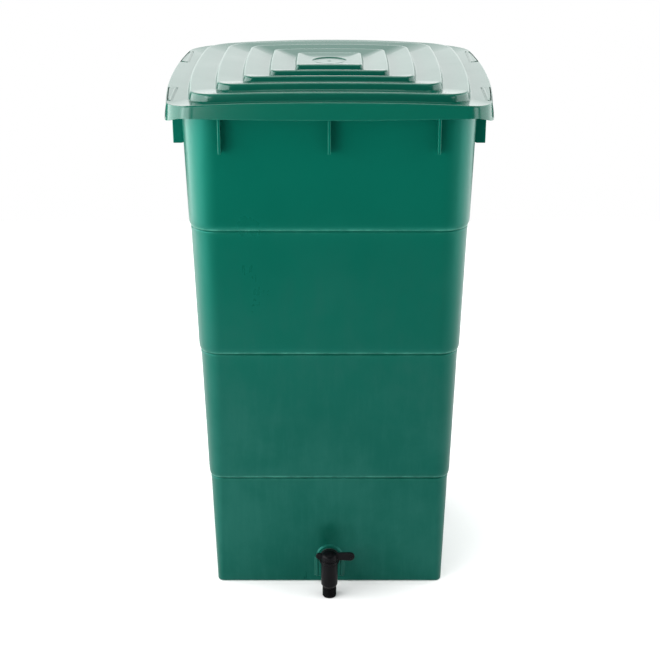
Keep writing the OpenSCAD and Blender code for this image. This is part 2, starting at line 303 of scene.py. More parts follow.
def rounded(outline, radius, steps):
    """The outline with every corner cut by a smooth curve that starts radius away from it."""
    n = len(outline)
    points = []
    for i in range(n):
        p0, p1, p2 = outline[i - 1], outline[i], outline[(i + 1) % n]
        ends = []
        for q in (p0, p2):
            length = math.dist(p1, q)
            share = min(radius, 0.45 * length) / length
            ends.append((p1[0] + (q[0] - p1[0]) * share, p1[1] + (q[1] - p1[1]) * share))
        for k in range(steps + 1):
            t = k / steps
            points.append(tuple(
                (1 - t) ** 2 * ends[0][c] + 2 * t * (1 - t) * p1[c] + t * t * ends[1][c] for c in (0, 1)))
    return points


def arc(centre_r, centre_h, radius, start, end, steps):
    """(radius, height) points along an arc; angles in degrees, 0 pointing away from the axis."""
    turns = [math.radians(start + (end - start) * i / steps) for i in range(steps + 1)]
    return [(centre_r + radius * math.cos(a), centre_h + radius * math.sin(a)) for a in turns]


SHARP_DEG = 40  # edges that turn by more than this are drawn sharp


def build(name, shape, nodes, body, material):
    """Makes the mesh object in metres, shades it and ties it to its CAD body."""
    mesh = bpy.data.meshes.new(name)
    mesh.from_pydata([[c * MM for c in p] for p in shape.points], [], shape.faces)
    mesh.attributes.new("wear", "FLOAT", "POINT").data.foreach_set("value", shape.wear)
    bm = bmesh.new()
    bm.from_mesh(mesh)
    bmesh.ops.recalc_face_normals(bm, faces=bm.faces)
    for face in bm.faces:
        face.smooth = True
    for edge in bm.edges:
        if edge.is_manifold and edge.calc_face_angle(0) > math.radians(SHARP_DEG):
            edge.smooth = False
    bm.to_mesh(mesh)
    bm.free()
    obj = bpy.data.objects.new(name, mesh)
    bpy.context.scene.collection.objects.link(obj)
    mesh.materials.append(material)
    shading = obj.modifiers.new("even_shading", "WEIGHTED_NORMAL")
    shading.keep_sharp = True
    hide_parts(*nodes)
    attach(obj, body)


# ---------- materials ----------

class Nodes:
    """Short helper for building one procedural material."""

    def __init__(self, name):
        self.material = bpy.data.materials.new(name)
        self.material.use_nodes = True
        self.tree = self.material.node_tree
        self.shader = self.tree.nodes["Principled BSDF"]
        self.place = self.new("ShaderNodeTexCoord").outputs["Object"]

    def new(self, kind, **values):
        node = self.tree.nodes.new(kind)
        for key, value in values.items():
            setattr(node, key, value)
        return node

    def link(self, source, target):
        self.tree.links.new(source, target)

    def noise(self, scale, detail=4.0, rough=0.55, stretch=(1, 1, 1)):
        """Noise over the object, with a scale in features per metre along each axis."""
        mapping = self.new("ShaderNodeMapping")
        mapping.inputs["Scale"].default_value = stretch
        self.link(self.place, mapping.inputs["Vector"])
        node = self.new("ShaderNodeTexNoise")
        node.inputs["Scale"].default_value = scale
        node.inputs["Detail"].default_value = detail
        node.inputs["Roughness"].default_value = rough
        self.link(mapping.outputs["Vector"], node.inputs["Vector"])
        return node.outputs["Fac"]

    def window(self, source, low, high, out_low=0.0, out_high=1.0):
        """Maps low..high to out_low..out_high, clamped, with smooth ends."""
        node = self.new("ShaderNodeMapRange", interpolation_type="SMOOTHSTEP")
        for key, value in (("From Min", low), ("From Max", high), ("To Min", out_low), ("To Max", out_high)):
            node.inputs[key].default_value = value
        self.link(source, node.inputs["Value"])
        return node.outputs["Result"]

    def math(self, operation, a, b):
        node = self.new("ShaderNodeMath", operation=operation)
        for socket, value in zip(node.inputs, (a, b)):
            if isinstance(value, (int, float)):
                socket.default_value = value
            else:
                self.link(value, socket)
        return node.outputs["Value"]

    def mix(self, amount, a, b):
        """Mixes two colours; a colour is a tuple or a socket."""
        node = self.new("ShaderNodeMix", data_type="RGBA")
        self.link(amount, node.inputs["Factor"])
        for socket, value in ((node.inputs[6], a), (node.inputs[7], b)):
            if isinstance(value, tuple):
                socket.default_value = (*value, 1.0)
            else:
                self.link(value, socket)
        return node.outputs[2]

    def height(self):
        """The point's height above the ground in metres."""
        node = self.new("ShaderNodeSeparateXYZ")
        self.link(self.place, node.inputs["Vector"])
        return node.outputs["Z"]

    def wear(self):
        return self.new("ShaderNodeAttribute", attribute_name="wear").outputs["Fac"]

    def bumps(self, *layers):
        """Stacks (socket, distance in metres) bump layers onto the shader's normal."""
        last = None
        for source, distance in layers:
            node = self.new("ShaderNodeBump")
            node.inputs["Strength"].default_value = 1.0
            node.inputs["Distance"].default_value = distance
            self.link(source, node.inputs["Height"])
            if last is not None:
                self.link(last, node.inputs["Normal"])
            last = node.outputs["Normal"]
        self.link(last, self.shader.inputs["Normal"])

    def finish(self, color, roughness):
        self.link(color, self.shader.inputs["Base Color"])
        self.link(roughness, self.shader.inputs["Roughness"])
        return self.material


GREEN_DEEP = (0.0003, 0.070, 0.046)
GREEN_LIGHT = (0.0004, 0.092, 0.060)
# colour of the painted shade that darkens the tank towards the ground
GREEN_PAINTED_SHADE = (0.0003, 0.032, 0.021)
GREEN_SCUFF = (0.006, 0.056, 0.041)
GREEN_WEAR = (0.06, 0.27, 0.20)
TANK_SHEEN = (0.12, 0.85, 0.72, 1.0)  # tint of reflections seen face on
LID_SHEEN = (0.85, 1.0, 0.97, 1.0)
BLACK_DEEP = (0.0015, 0.0015, 0.002)
BLACK_LIGHT = (0.0035, 0.0035, 0.0042)
BLACK_WEAR = (0.02, 0.02, 0.023)
RUBBER_DEEP = (0.012, 0.012, 0.012)
RUBBER_LIGHT = (0.028, 0.028, 0.027)
STEEL_DEEP = (0.52, 0.52, 0.53)
STEEL_LIGHT = (0.68, 0.68, 0.69)
FLOOR_DEEP = (0.9, 0.9, 0.9)
FLOOR_LIGHT = (0.93, 0.93, 0.93)


def green_plastic(name, dull, gloss_low, gloss_high, worn, sheen):
    """Moulded green polyethylene.

    dull is how scuffed the lower part gets, worn how pale the edges are, and sheen tints the reflections.
    """
    n = Nodes(name)
    # the green changes slightly from place to place, and painted shade darkens it towards the ground,
    # standing in for the light that falls off low down
    color = n.mix(n.noise(3.5, 3.0), GREEN_DEEP, GREEN_LIGHT)
    # painted shade: a darker green is mixed in by height, strongest near the ground
    color = n.mix(n.window(n.height(), 0.95, 0.2, 0.0, 0.9), color, GREEN_PAINTED_SHADE)
    # blotches and upright streaks of fine scuffing low down
    low_down = n.window(n.height(), 0.82, 0.3)
    blotch = n.window(n.noise(7.0, 5.0, 0.65), 0.38, 0.68)
    streak = n.window(n.noise(10.0, 6.0, 0.7, (6, 6, 1)), 0.42, 0.75)
    marks = n.math("ADD", n.math("MULTIPLY", blotch, 0.7), n.math("MULTIPLY", streak, 0.5))
    scuff = n.math("MULTIPLY", marks, n.math("MULTIPLY", low_down, dull))
    color = n.mix(scuff, color, GREEN_SCUFF)
    speck = n.window(n.noise(90.0, 4.0, 0.7, (1, 1, 2)), 0.68, 0.82, 0.0, 0.25 * dull)
    color = n.mix(n.math("MULTIPLY", speck, low_down), color, GREEN_SCUFF)
    # paler, unevenly rubbed edges
    rubbed = n.window(n.noise(45.0, 5.0, 0.7), 0.35, 0.75, 0.15 * worn, 0.7 * worn)
    color = n.mix(n.math("MULTIPLY", n.wear(), rubbed), color, GREEN_WEAR)
    gloss = n.window(n.noise(6.0, 1.0, 0.5), 0.1, 0.9, gloss_low, gloss_high)
    rough = n.math("ADD", gloss, n.math("MULTIPLY", scuff, 0.22))
    n.shader.inputs["IOR"].default_value = 1.5
    n.shader.inputs["Specular Tint"].default_value = sheen
    n.bumps((n.noise(5.0, 2.0), 0.0012), (n.noise(260.0, 2.0), 0.000008))
    return n.finish(color, rough)


def black_plastic(name):
    """Black plastic of the tap, with a faint grain."""
    n = Nodes(name)
    color = n.mix(n.noise(60.0, 4.0), BLACK_DEEP, BLACK_LIGHT)
    n.shader.inputs["Specular IOR Level"].default_value = 0.07
    edge = n.math("MULTIPLY", n.wear(), n.window(n.noise(250.0, 4.0), 0.4, 0.7, 0.1, 0.7))
    color = n.mix(edge, color, BLACK_WEAR)
    rough = n.window(n.noise(180.0, 5.0), 0.3, 0.7, 0.28, 0.42)
    n.bumps((n.noise(1800.0, 2.0), 0.00003), (n.noise(90.0, 2.0), 0.0001))
    return n.finish(color, rough)


def rubber(name):
    """Dull black rubber of the seals and washers."""
    n = Nodes(name)
    color = n.mix(n.noise(120.0, 5.0), RUBBER_DEEP, RUBBER_LIGHT)
    rough = n.window(n.noise(300.0, 4.0), 0.3, 0.7, 0.62, 0.85)
    n.bumps((n.noise(1400.0, 3.0), 0.00005))
    return n.finish(color, rough)


def pin_steel(name):
    """Drawn steel wire of the hinge pins, with fine lines along it."""
    n = Nodes(name)
    color = n.mix(n.noise(200.0, 5.0, 0.7, (1, 0.05, 1)), STEEL_DEEP, STEEL_LIGHT)
    rough = n.window(n.noise(500.0, 4.0, 0.7, (1, 0.05, 1)), 0.3, 0.7, 0.2, 0.38)
    n.shader.inputs["Metallic"].default_value = 1.0
    n.bumps((n.noise(900.0, 3.0, 0.7, (1, 0.03, 1)), 0.00002))
    return n.finish(color, rough)


TANK_GREEN = green_plastic("tank_polyethylene", 1.0, 0.26, 0.34, 0.8, TANK_SHEEN)
LID_GREEN = green_plastic("lid_polyethylene", 0.15, 0.15, 0.22, 0.25, LID_SHEEN)
BLACK = black_plastic("black_plastic")
RUBBER = rubber("black_rubber")
STEEL = pin_steel("pin_steel")


# ---------- tank ----------

def wall_half(z, rings=None):
    """Half the tank's width at a height; rings is the number of step rings below it."""
    if rings is None:
        rings = sum(1 for r in RING_Z if r < z)
    return BASE_HALF + WALL_DRAFT * z + RING_STEP * rings


def corner_r(z):
    """Radius of the tank's upright corners, which grows with height."""
    return FOOT_CORNER_R + CORNER_GROWTH * z


def tank_row(z, half, radius):
    loop = rounded_loop(half, radius, 0.0, TANK_CORNER_STEPS, TANK_SIDE_T)
    return [(x, y, z) for x, y, _ in loop]


def wall_row(z, out=0.0, rings=None):
    """A loop standing a given distance outside the plain wall."""
    return tank_row(z, wall_half(z, rings) + out, max(corner_r(z) + out, 3.0))


def flange_row(z, half):
    return tank_row(z, half, corner_r(z) + half - wall_half(z))


# Heights about a step ring, how far the surface stands outside the lower section there, and wear
RING_PROFILE = (
    (-34, 0.0, 0.0), (-20, 0.02, 0.0), (-12, 0.1, 0.0), (-7, 0.35, 0.0), (-4.5, 0.5, 0.1),
    (-3.2, 0.42, 0.3), (-2.4, 0.05, 0.2), (-1.9, -0.55, 0.0), (-1.3, -0.8, 0.0), (-0.7, -0.55, 0.0),
    (-0.1, 0.1, 0.2), (0.5, 0.8, 0.6), (1.4, 1.35, 1.0), (2.6, 1.8, 0.7), (4.2, 2.2, 0.2),
    (6.5, 2.6, 0.0), (9, 2.85, 0.0), (13, 3.0, 0.0), (20, 3.0, 0.0), (34, 3.0, 0.0))
# The same from the inside, counted from the top down
INNER_RING_PROFILE = ((16, 3.0), (9, 2.8), (4, 1.9), (0, 0.9), (-5, 0.15), (-12, 0.0))


def outer_wall_rows():
    """The outside from the rounded foot to the topmost step ring."""
    rows = []
    for a in range(0, 91, 15):
        turn = math.radians(a)
        out = -FOOT_ROUND * (1 - math.sin(turn))
        rows.append((wall_row(FOOT_ROUND * (1 - math.cos(turn)), out), 0.8 if 20 < a < 70 else 0.0))
    rows.append((wall_row(FOOT_ROUND + 8), 0.0))
    for i, ring in enumerate(RING_Z):
        for dz, out, worn in RING_PROFILE:
            rows.append((wall_row(ring + dz, out, i), worn))
    return rows


def rim_rows():
    """From the top of the outer wall round the flange and its lip to the top of the inner wall."""
    under = FLANGE_TOP - FLANGE_THICK
    return [
        (wall_row(under - 12), 0.0), (wall_row(under - 3), 0.0), (wall_row(under, 1.5), 0.0),
        (flange_row(under, wall_half(under) + 6), 0.0),
        (flange_row(under, FLANGE_HALF - FLANGE_LIP - 1), 0.0),
        (flange_row(under - 1.5, FLANGE_HALF - FLANGE_LIP), 0.0),
        (flange_row(LIP_BOTTOM + 0.8, FLANGE_HALF - FLANGE_LIP), 0.3),
        (flange_row(LIP_BOTTOM, FLANGE_HALF - FLANGE_LIP + 0.8), 0.6),
        (flange_row(LIP_BOTTOM, FLANGE_HALF - 0.8), 0.6),
        (flange_row(LIP_BOTTOM + 0.8, FLANGE_HALF), 0.6),
        (flange_row(FLANGE_TOP - 2, FLANGE_HALF), 0.3),
        (flange_row(FLANGE_TOP - 0.7, FLANGE_HALF - 0.4), 0.8),
        (flange_row(FLANGE_TOP, FLANGE_HALF - 1.8), 0.6),
        (flange_row(FLANGE_TOP, FLANGE_HALF - 6), 0.0),
        (wall_row(FLANGE_TOP - 0.01, 1.5 - TANK_WALL), 0.0),
        (wall_row(FLANGE_TOP - 0.7, 0.4 - TANK_WALL), 0.5),
        (wall_row(FLANGE_TOP - 2, -TANK_WALL), 0.2),
        (wall_row(FLANGE_TOP - 12, -TANK_WALL), 0.0)]


def inner_wall_rows():
    """The inside from the topmost step ring down to the floor."""
    rows = []
    for i in (2, 1, 0):
        for dz, inner in INNER_RING_PROFILE:
            rows.append((wall_row(RING_Z[i] + dz, inner - TANK_WALL, i), 0.0))
    for a in range(90, -1, -18):
        turn = math.radians(a)
        z = FLOOR_THICK + FLOOR_ROUND * (1 - math.cos(turn))
        rows.append((wall_row(z, -TANK_WALL - FLOOR_ROUND * (1 - math.sin(turn))), 0.0))
    return rows


def add_gussets(shape):
    """Thin upright ribs between the wall and the rim, three on each side."""
    reach = FLANGE_HALF - 1
    outline = rounded([
        (wall_half(GUSSET_BOTTOM) - 2, GUSSET_BOTTOM + 3),
        (wall_half(GUSSET_BOTTOM) + 4, GUSSET_BOTTOM),
        (GUSSET_OUT - 0.6, GUSSET_BOTTOM),
        (GUSSET_OUT, LIP_BOTTOM),
        (reach, LIP_BOTTOM + 2),
        (reach, FLANGE_TOP - 6),
        (wall_half(FLANGE_TOP) - 2, FLANGE_TOP - FLANGE_THICK + 1)], 1.2, 3)
    for side in range(4):
        for i in (-1, 0, 1):
            def place(u, v, h, side=side):
                x, y = quarter_turns((u, h), side)
                return (x, y, v)

            middle = i * GUSSET_GAP
            half = GUSSET_THICK / 2
            shape.slab(outline, middle - half, middle + half, GUSSET_ROUND, place, 0.9)


# Pad behind the tap
PAD_HALF = 22.8
PAD_FOOT_HALF = 32.0
PAD_BOTTOM = 15.0
PAD_ARCH_SLOPE = 5.0  # width of the slope round the arched top
PAD_FOOT_SLOPE = 2.5
PAD_GROOVE_DEPTH = 1.6
PAD_SUNK = 1.0  # how far the patch's edge lies inside the wall
PAD_CELLS = 72
SEAT_R = 26.0
SEAT_ROOT = 216.0


def pad_height(x, z):
    """How much of the pad's rise a point has, and how deep it lies in the pad's groove, both 0 to 1."""
    above = z > TAP_Z
    across = math.hypot(x, z - TAP_Z) if above else abs(x)
    slope = PAD_ARCH_SLOPE if above else PAD_FOOT_HALF - PAD_HALF
    rise = smooth((PAD_HALF + slope - across) / slope)
    foot = smooth((z - PAD_BOTTOM + PAD_FOOT_SLOPE) / PAD_FOOT_SLOPE)
    groove = math.exp(-((across - PAD_HALF + 1.5) / 0.9) ** 2) * (0.35 if above else 1.0)
    return min(rise, foot), groove * foot


def add_pad(shape):
    """A patch that grows out of the front wall and gives the tap an upright face."""
    span = PAD_FOOT_HALF + 6
    low = PAD_BOTTOM - 8
    high = TAP_Z + PAD_HALF + 14
    front, back = [], []
    for i in range(PAD_CELLS + 1):
        z = low + (high - low) * i / PAD_CELLS
        wall = wall_half(z, 0)
        row = []
        for j in range(PAD_CELLS + 1):
            x = -span + 2 * span * j / PAD_CELLS
            up, groove = pad_height(x, z)
            rim = smooth(up * 8)
            face = PAD_FACE if up > 0 else wall
            y = wall - PAD_SUNK + (face - wall + PAD_SUNK) * up * rim - PAD_GROOVE_DEPTH * groove * rim
            row.append((x, -y, z))
        front.append(row)
        back.append([(p[0], -(wall - TANK_WALL + 1), p[2]) for p in row])
    add_sheet(shape, front, back)


def add_sheet(shape, front, back):
    """A closed solid between two grids of the same size."""
    rows, columns = len(front), len(front[0])
    starts = [shape.add([p for row in grid for p in row]) for grid in (front, back)]
    for start in starts:
        for i in range(rows - 1):
            for j in range(columns - 1):
                a = start + i * columns + j
                shape.faces.append((a, a + 1, a + columns + 1, a + columns))
    border = [j for j in range(columns)]
    border += [i * columns + columns - 1 for i in range(1, rows)]
    border += [(rows - 1) * columns + j for j in range(columns - 2, -1, -1)]
    border += [i * columns for i in range(rows - 2, 0, -1)]
    for a, b in zip(border, border[1:] + border[:1]):
        shape.faces.append((starts[0] + a, starts[0] + b, starts[1] + b, starts[1] + a))


def forward(x, y, h):
    """Places (x, y, h) with h the distance in front of the tank's middle, at the tap's height."""
    return (x, -h, TAP_Z + y)


def at_tap(x, y, h):
    """Places (x, y, h) with h the height, about the tap's upright axis."""
    return (x, y - TAP_Y, h)


def build_tank():
    """One moulding: walls, rim, ribs, the pad behind the tap, and the washer's seat inside."""
    shape = Shape()
    rows = outer_wall_rows() + rim_rows() + inner_wall_rows()
    shape.skin([r for r, _ in rows], [w for _, w in rows])
    add_gussets(shape)
    add_pad(shape)
    seat = [(SEAT_R, SEAT_ROOT), (SEAT_R, SEAT_FACE + 1), (SEAT_R - 1, SEAT_FACE), (STEM_HOLE_R, SEAT_FACE),
            (STEM_HOLE_R, SEAT_ROOT)]
    shape.lathe(seat, forward, closed=True)
    build("tank_shell", shape, ["tank", "tank_rim", "rim_gussets"], "tank", TANK_GREEN)


# ---------- lid ----------

# Where the points along a side are, from its end to its middle; two of them are the ends of a slot
HALF_SIDE_T = (0.993, SLOT_TO / SLOT_SPAN, 0.93, 0.82, 0.7, 0.6, 0.53, SLOT_FROM / SLOT_SPAN,
               0.47, 0.32, 0.16, 0.0)
LID_SIDE_T = HALF_SIDE_T + tuple(-t for t in HALF_SIDE_T[-2::-1])


def sideways(x, y):
    """0 along the front and rear, 1 along the left and right, blended round the corners."""
    return smooth((abs(x) - abs(y)) / SIDE_BLEND + 0.5)


def arch(x, y):
    """How far the top falls towards the left and right, and a little more at the corners."""
    return -LID_ARCH * (x / LID_HALF) ** 2 - CORNER_FALL * (x * y / LID_HALF ** 2) ** 4


def bow_at(half):
    """How far the sides of a loop bow out; inner loops bow less."""
    return LID_BOW * (half / LID_HALF) ** 2


def lid_loop(half, radius, bow):
    return rounded_loop(half, radius, bow, LID_CORNER_STEPS, LID_SIDE_T)


def top_row(half, radius, z):
    """A row of the lid's top, which follows the arch."""
    return [(x, y, z + arch(x, y)) for x, y, _ in lid_loop(half, radius, bow_at(half))]


def band_z(half):
    """Height of the outer band, which rises from the first ring's foot to the lid's edge."""
    inner = ring_half(1) + 2
    return FOOT_Z[0] + (CREST_Z[0] - FOOT_Z[0]) * (half - inner) / (LID_HALF - 2 - inner)


def slot_row(half, bow, down=0.0):
    """A row along the inner or outer edge of the slots; z follows the outer band."""
    row = []
    for x, y, t in lid_loop(half, half - SLOT_SPAN, bow):
        natural = half - ((bow_at(half) - bow) * (1 - t * t) if t is not None else 0.0)
        row.append((x, y, band_z(natural) + arch(x, y) - down))
    return row


def slot_inner_row(down=0.0):
    return slot_row(SLOT_IN, 0.0, down)


def slot_outer_row(down=0.0):
    return slot_row(LID_HALF - SLOT_MARGIN, LID_BOW, down)


def straight_row(half, radius, z, arched):
    """A straight-sided row: level where arched is 0, following the top's arch where it is 1."""
    return [(x, y, z + arched * arch(x, y)) for x, y, _ in lid_loop(half, radius, 0.0)]


def skirt_row(half, down, lip=0.0, edge=CREST_Z[0]):
    """down is 0 at the lid's edge and 1 at the skirt's lower edge; lip turns the left and right out."""
    row = []
    for x, y, _ in lid_loop(half, RIM_R, LID_BOW):
        grow = 1 + lip * sideways(x, y) / half
        low = SKIRT_BOTTOM - SIDE_DROP * sideways(x, y)
        row.append((x * grow, y * grow, (edge + arch(x, y)) * (1 - down) + low * down))
    return row


def ring_half(k):
    return LID_HALF + RING_ZERO - k * RING_PITCH


def ring_r(half):
    """Corner radius of a ring; inner rings have sharper corners."""
    return 4 + 0.00075 * half * half


# Steps up a ring's riser: outward distance from the riser, share of its height, and wear
RISER = (
    (7.0, 0.015, 0.0), (4.2, 0.0, 0.0), (3.0, 0.03, 0.0), (2.3, 0.12, 0.0), (1.7, 0.26, 0.0), (0.8, 0.5, 0.0),
    (0.3, 0.66, 0.1), (0.0, 0.77, 0.3), (-0.5, 0.87, 0.8), (-1.3, 0.95, 1.0), (-2.4, 0.99, 0.6),
    (-3.6, 1.0, 0.1), (-6.0, 0.985, 0.0))
# Radius, height above the floor of the recess, and wear: its wall, a raised ring and a small dimple
RECESS = (
    (33.5, 1.4, 0.0), (32.2, 1.38, 0.2), (31.7, 1.0, 0.6), (RECESS_R, 0.3, 0.0), (30.8, 0.0, 0.0),
    (27.5, 0.0, 0.0), (26.8, 0.55, 0.5), (25.4, 0.55, 0.5), (24.7, 0.0, 0.0), (8.0, 0.0, 0.0),
    (3.4, 0.0, 0.0), (2.9, -0.7, 0.0), (2.0, -0.9, 0.0), (1.4, 0.3, 0.4), (0.6, 0.5, 0.4))


def ring_rows(k):
    """Top surface of ring k from the foot of its riser to its crest."""
    half = ring_half(k)
    foot = FOOT_Z[k - 1]
    rise = CREST_Z[k] - foot
    return [(top_row(half + out, ring_r(half) + max(out, -3.0), foot + rise * share), worn)
            for out, share, worn in RISER]


def circle_row(radius, z):
    """A round row with one point for each point of a lid row."""
    row = []
    for x, y, _ in lid_loop(36, 5, 0.0):
        reach = radius / math.hypot(x, y)
        row.append((x * reach, y * reach, z + arch(x * reach, y * reach)))
    return row


def lid_top_rows():
    """Outer rows from the skirt's lower edge up to the middle of the top."""
    half = LID_HALF
    rows = [
        (skirt_row(half + FLARE - 0.5, 1.0, LIP_FLARE), 0.5),
        (skirt_row(half + FLARE, 0.985, LIP_FLARE), 1.0),
        (skirt_row(half + FLARE, 0.95, LIP_FLARE * 0.8), 0.6),
        (skirt_row(half + FLARE - 0.1, 0.9, LIP_FLARE * 0.4), 0.0),
        (skirt_row(half + FLARE - 0.2, 0.82, LIP_FLARE * 0.1), 0.0),
        (skirt_row(half + FLARE - 0.3, 0.7), 0.0),
        (skirt_row(half - 0.2, 0.4), 0.0),
        (skirt_row(half - 0.7, 0.16), 0.0),
        (skirt_row(half - 0.9, 0.1), 0.1),
        (skirt_row(half - 1.2, 0.05), 0.6),
        (top_row(half - 1.7, RIM_R - 1.7, CREST_Z[0] - 0.35), 1.0),
        (top_row(half - 2.4, RIM_R - 2.4, CREST_Z[0] - 0.1), 0.5),
        (slot_outer_row(), 0.0), (slot_inner_row(), 0.0),
        (top_row(253, 48.3, band_z(253)), 0.0)]
    for k in range(1, RING_COUNT + 1):
        rows += ring_rows(k)
    rows += [(top_row(46, 4, 978.6), 0.0), (top_row(36, 5, RECESS_Z + RECESS_DEPTH), 0.0)]
    rows += [(circle_row(radius, RECESS_Z + dz), worn) for radius, dz, worn in RECESS]
    return rows


def lid_under_rows():
    """Inner rows from the middle of the underside out to the skirt's lower edge."""
    rows = [(circle_row(0.6, RECESS_Z - PLATE + 0.6), 0.0), (circle_row(30, RECESS_Z - PLATE + 0.6), 0.0),
            (top_row(36, 5, RECESS_Z + RECESS_DEPTH - PLATE), 0.0)]
    for k in range(RING_COUNT, 0, -1):
        half = ring_half(k) - LID_WALL
        foot = FOOT_Z[k - 1] - PLATE
        crest = CREST_Z[k] - PLATE
        steps = ((-5, crest - 0.1), (-3, crest), (-1, crest - 0.6), (0, crest - 2.5),
                 (2, foot + 0.6), (4, foot))
        for out, z in steps:
            rows.append((top_row(half + out, ring_r(half) + max(out, -3), z), 0.0))
    # the rib that rests on the tank's flange
    inner = SEAT_RIB - 3
    low = FLANGE_TOP + SEAT_GAP
    rows.append((straight_row(inner - 2, RIM_R - 10, FOOT_Z[0] - 1, 1), 0.0))
    rows.append((straight_row(inner, RIM_R - 8, FOOT_Z[0] - 2, 1), 0.0))
    for half, z in ((inner, low + 0.6), (inner + 0.6, low), (SEAT_RIB - 0.6, low), (SEAT_RIB, low + 0.6)):
        rows.append((straight_row(half, RIM_R - 8 + half - inner, z, 0), 0.2))
    rows += [
        (straight_row(SEAT_RIB, RIM_R - 5, FOOT_Z[0] - 1.2, 1), 0.0),
        (slot_inner_row(PLATE), 0.0), (slot_outer_row(PLATE), 0.0),
        (skirt_row(LID_HALF - LID_WALL, 0.1, 0.0, CREST_Z[0] - PLATE), 0.0),
        (skirt_row(LID_HALF - LID_WALL + 0.4, 0.22), 0.0),
        (skirt_row(LID_HALF + FLARE - LID_WALL, 0.7), 0.0),
        (skirt_row(LID_HALF + FLARE - LID_WALL, 0.97, LIP_FLARE), 0.3),
        (skirt_row(LID_HALF + FLARE - LID_WALL + 0.6, 1.0, LIP_FLARE), 0.5)]
    return rows


def slot_cells():
    """Which columns of a lid row lie within a slot, and how many columns there are."""
    base = lid_loop(SLOT_IN, SLOT_IN - SLOT_SPAN, 0.0)
    n = len(base)
    slack = 0.01
    cells = []
    for j in range(n):
        ends = (base[j], base[(j + 1) % n])
        on_side = all(abs(x) > SLOT_SPAN and t is not None for x, _, t in ends)
        reach = [abs(y) for _, y, _ in ends]
        if on_side and min(reach) > SLOT_FROM - slack and max(reach) < SLOT_TO + slack:
            cells.append(j)
    return cells, n


def wall_slots(shape, cells, n, outer_edges, inner_edges):
    """Walls between the top and the underside round the slots; edges are (above, below) row starts."""
    for j in cells:
        k = (j + 1) % n
        for above, below in (outer_edges, inner_edges):
            shape.faces.append((above + j, above + k, below + k, below + j))
        for column, neighbour in ((j, j - 1), (k, k)):
            if neighbour not in cells:
                (a_out, b_out), (a_in, b_in) = outer_edges, inner_edges
                shape.faces.append((a_out + column, a_in + column, b_in + column, b_out + column))


def build_lid():
    """One moulding: stepped top, skirt, the rib under it, four slots and the pins' bosses."""
    shape = Shape()
    top = lid_top_rows()
    under = lid_under_rows()
    rows = top + under
    cells, n = slot_cells()
    top_out = next(i for i, (row, _) in enumerate(top) if row == slot_outer_row())
    under_in = len(top) + next(i for i, (row, _) in enumerate(under) if row == slot_inner_row(PLATE))
    starts = shape.skin([r for r, _ in rows], [w for _, w in rows], closed=True,
                        skip=lambda i, j: i in (top_out, under_in) and j in cells)
    close_recess(shape, starts[len(top) - 1], starts[len(top)], n)
    outer_edges = (starts[top_out], starts[under_in + 1])
    inner_edges = (starts[top_out + 1], starts[under_in])
    wall_slots(shape, cells, n, outer_edges, inner_edges)
    add_hinge_bosses(shape)
    build("lid_shell", shape, ["lid"], "lid", LID_GREEN)


def close_recess(shape, top_start, under_start, n):
    """Swaps the band that joins the innermost top and underside rows for two flat caps."""
    low, high = sorted((top_start, under_start))
    joining = set(range(low, low + n)) | set(range(high, high + n))
    shape.faces = [f for f in shape.faces if not set(f) <= joining]
    for start in (top_start, under_start):
        shape.faces.append(tuple(range(start, start + n)))


def add_hinge_bosses(shape):
    """Small blocks under the lid that hold the ends of the lock pins."""
    left, right = PIN_X - BOSS_HALF, PIN_X + BOSS_HALF
    outline = rounded([(left, BOSS_LOW), (right, BOSS_LOW), (right, BOSS_HIGH), (left, BOSS_HIGH)], 1.2, 3)
    for sx, sy in CORNERS.values():
        def place(u, v, h, sx=sx, sy=sy):
            return (u * sx, h * sy, v)

        for y in (SLOT_FROM - BOSS_LONG, SLOT_TO):
            shape.slab(outline, y, y + BOSS_LONG, 0.6, place, 0.3)


# ---------- lid locks ----------

SIDE_LINE_STEPS = 8


def side_line(start, end, inside):
    """Points along the lid's right side, a given distance inside its outline."""
    points = []
    for i in range(SIDE_LINE_STEPS + 1):
        y = start + (end - start) * i / SIDE_LINE_STEPS
        points.append((LID_HALF + LID_BOW * (1 - (y / SLOT_SPAN) ** 2) - inside, y))
    return points


